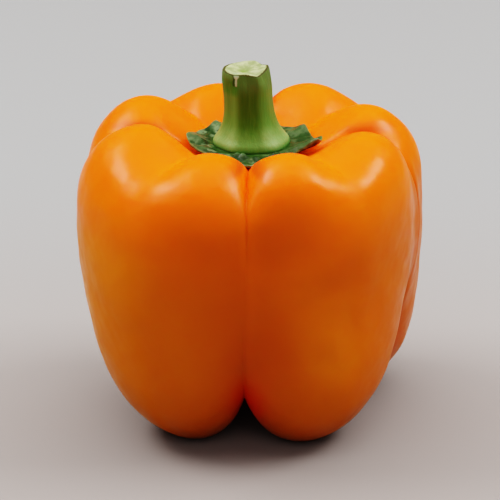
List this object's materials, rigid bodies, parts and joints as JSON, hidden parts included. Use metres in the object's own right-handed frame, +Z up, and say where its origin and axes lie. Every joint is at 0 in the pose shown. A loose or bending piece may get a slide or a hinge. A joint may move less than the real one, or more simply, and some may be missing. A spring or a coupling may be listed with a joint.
{
  "type": "bell pepper",
  "caption": "Blocky orange bell pepper with lobed shoulders, a dark green star-shaped calyx in the hollow on top and a short ribbed stem with a rough cut.",
  "frame": {"origin": "on the surface that the pepper stands on, under the middle of its box", "axes": "+Z up through the stem; -Y is the front, where a groove between two lobes faces the viewer; +X to the viewer's right"},
  "size_m": [0.089, 0.0876, 0.0937],
  "materials": {
    "orange_skin": "smooth waxy skin with a soft gloss, orange, redder in the grooves",
    "calyx_green": "matt dark green leaf tissue with a dry brown edge",
    "stem_green": "satin fibrous green stalk, pale yellow green on the cut"
  },
  "bodies": {
    "root": {"fruit": "orange_skin", "calyx": "calyx_green", "stem": "stem_green"}
  },
  "joints": []
}
